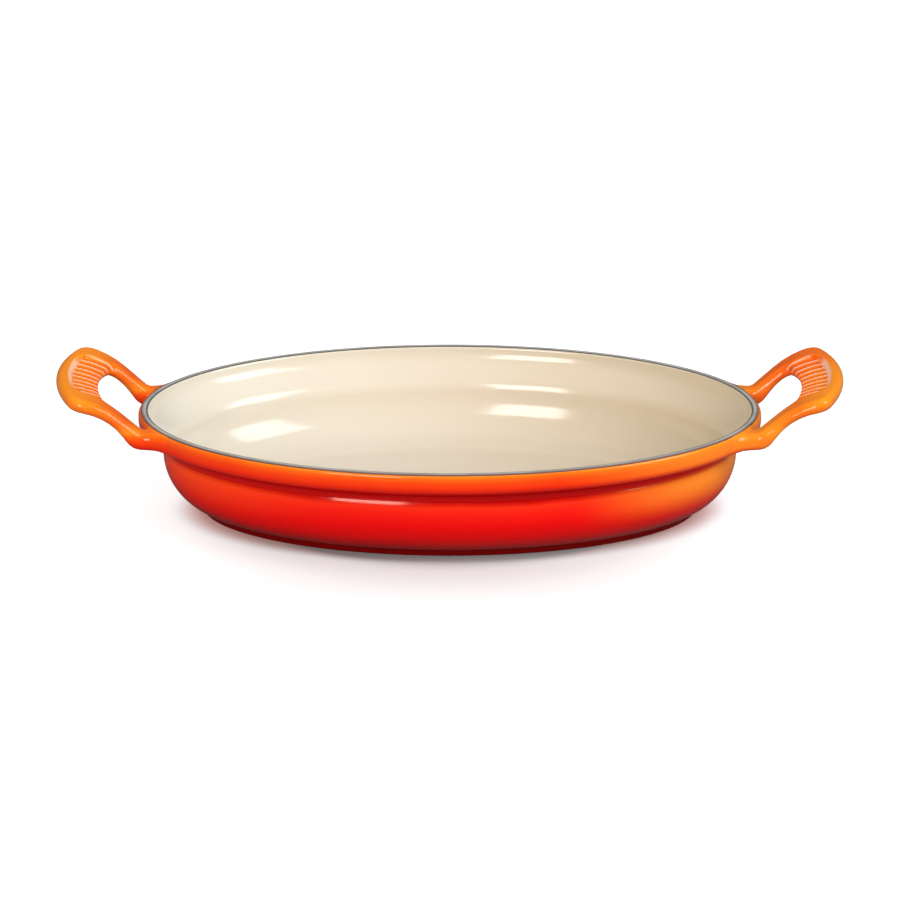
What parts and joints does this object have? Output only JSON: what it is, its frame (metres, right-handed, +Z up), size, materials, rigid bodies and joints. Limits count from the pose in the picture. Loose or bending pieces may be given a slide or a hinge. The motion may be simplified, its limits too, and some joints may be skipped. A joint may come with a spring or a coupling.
{
  "type": "gratin dish",
  "caption": "Shallow oval gratin dish of enamelled cast iron with a banded rim, a foot ring and a raised loop handle with a fluted thumb rest at each end.",
  "frame": {"origin": "middle of the base, on the table, under the foot ring", "axes": "+X along the dish through both handles, +Y across it, +Z up out of the bowl"},
  "size_m": [0.4052, 0.2136, 0.0752],
  "materials": {
    "enamelled_iron": "gloss enamel, orange at the rim and handles, shading to dark red low on the bowl",
    "cream_enamel": "gloss",
    "rim_ground_coat": "satin"
  },
  "bodies": {
    "root": {"iron_casting": "enamelled_iron", "interior_enamel": "cream_enamel", "rim_enamel": "rim_ground_coat"}
  },
  "joints": []
}
